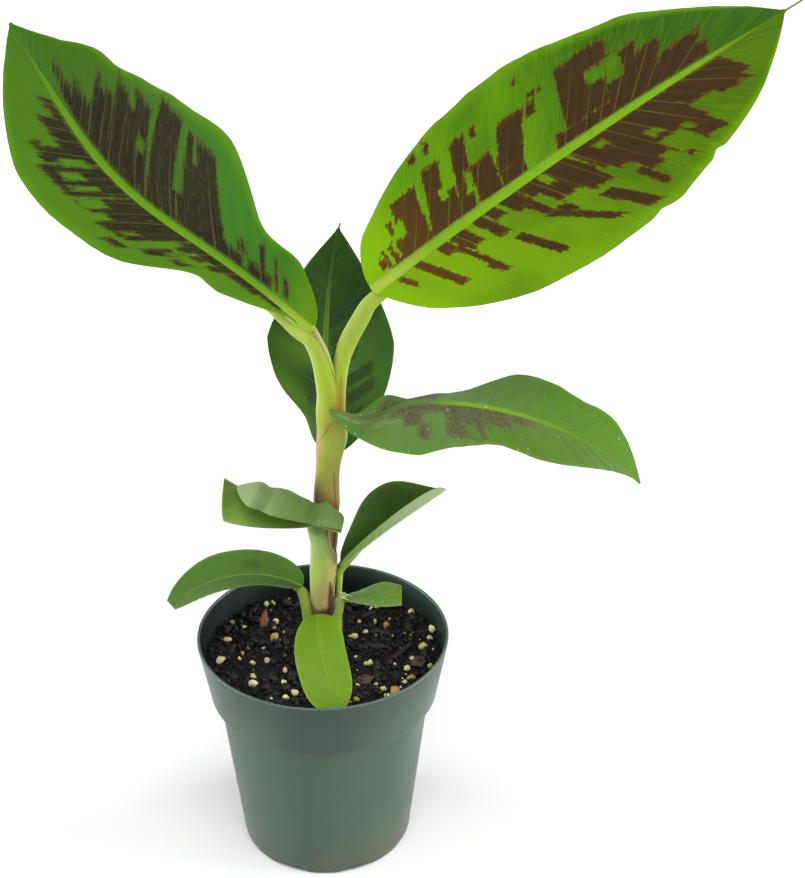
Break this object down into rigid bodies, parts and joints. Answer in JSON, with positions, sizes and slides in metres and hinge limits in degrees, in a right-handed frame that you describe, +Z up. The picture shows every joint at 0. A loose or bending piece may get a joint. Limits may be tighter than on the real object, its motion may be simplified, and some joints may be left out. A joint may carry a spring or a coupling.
{
  "type": "potted banana plant",
  "caption": "Young banana plant with blotched leaves, rooted in soil in a round green nursery pot that stands on its flat underside.",
  "frame": {"origin": "middle of the flat underside of the pot", "axes": "+Z up along the pot's axis, -Y towards the front, +X to the right when seen from the front"},
  "size_m": [0.3325, 0.1773, 0.3518],
  "materials": {
    "pot_plastic": "matte grey-green moulded plastic",
    "potting_soil": "dark loose peat with bark chips and pale mineral grains",
    "stem_skin": "smooth fleshy green stem with reddish brown tints",
    "stalk_skin": "smooth pale green stalk",
    "leaf_blade": "smooth green leaf with dark red-brown blotches and a pale midrib"
  },
  "bodies": {
    "root": {"pot": "pot_plastic", "soil": "potting_soil", "stem": "stem_skin", "low_left_sheath": "stem_skin", "upper_left_stalk": "stalk_skin", "upper_right_stalk": "stalk_skin", "back_stalk": "stalk_skin", "base_right_stalk": "stalk_skin", "base_left_stalk": "stalk_skin", "front_stalk": "stalk_skin", "low_right_stalk": "stalk_skin", "upper_left_leaf": "leaf_blade", "upper_right_leaf": "leaf_blade", "back_leaf": "leaf_blade", "mid_right_leaf": "leaf_blade", "low_left_leaf": "leaf_blade", "low_right_leaf": "leaf_blade", "base_left_leaf": "leaf_blade", "base_right_leaf": "leaf_blade", "front_leaf": "leaf_blade"}
  },
  "joints": []
}
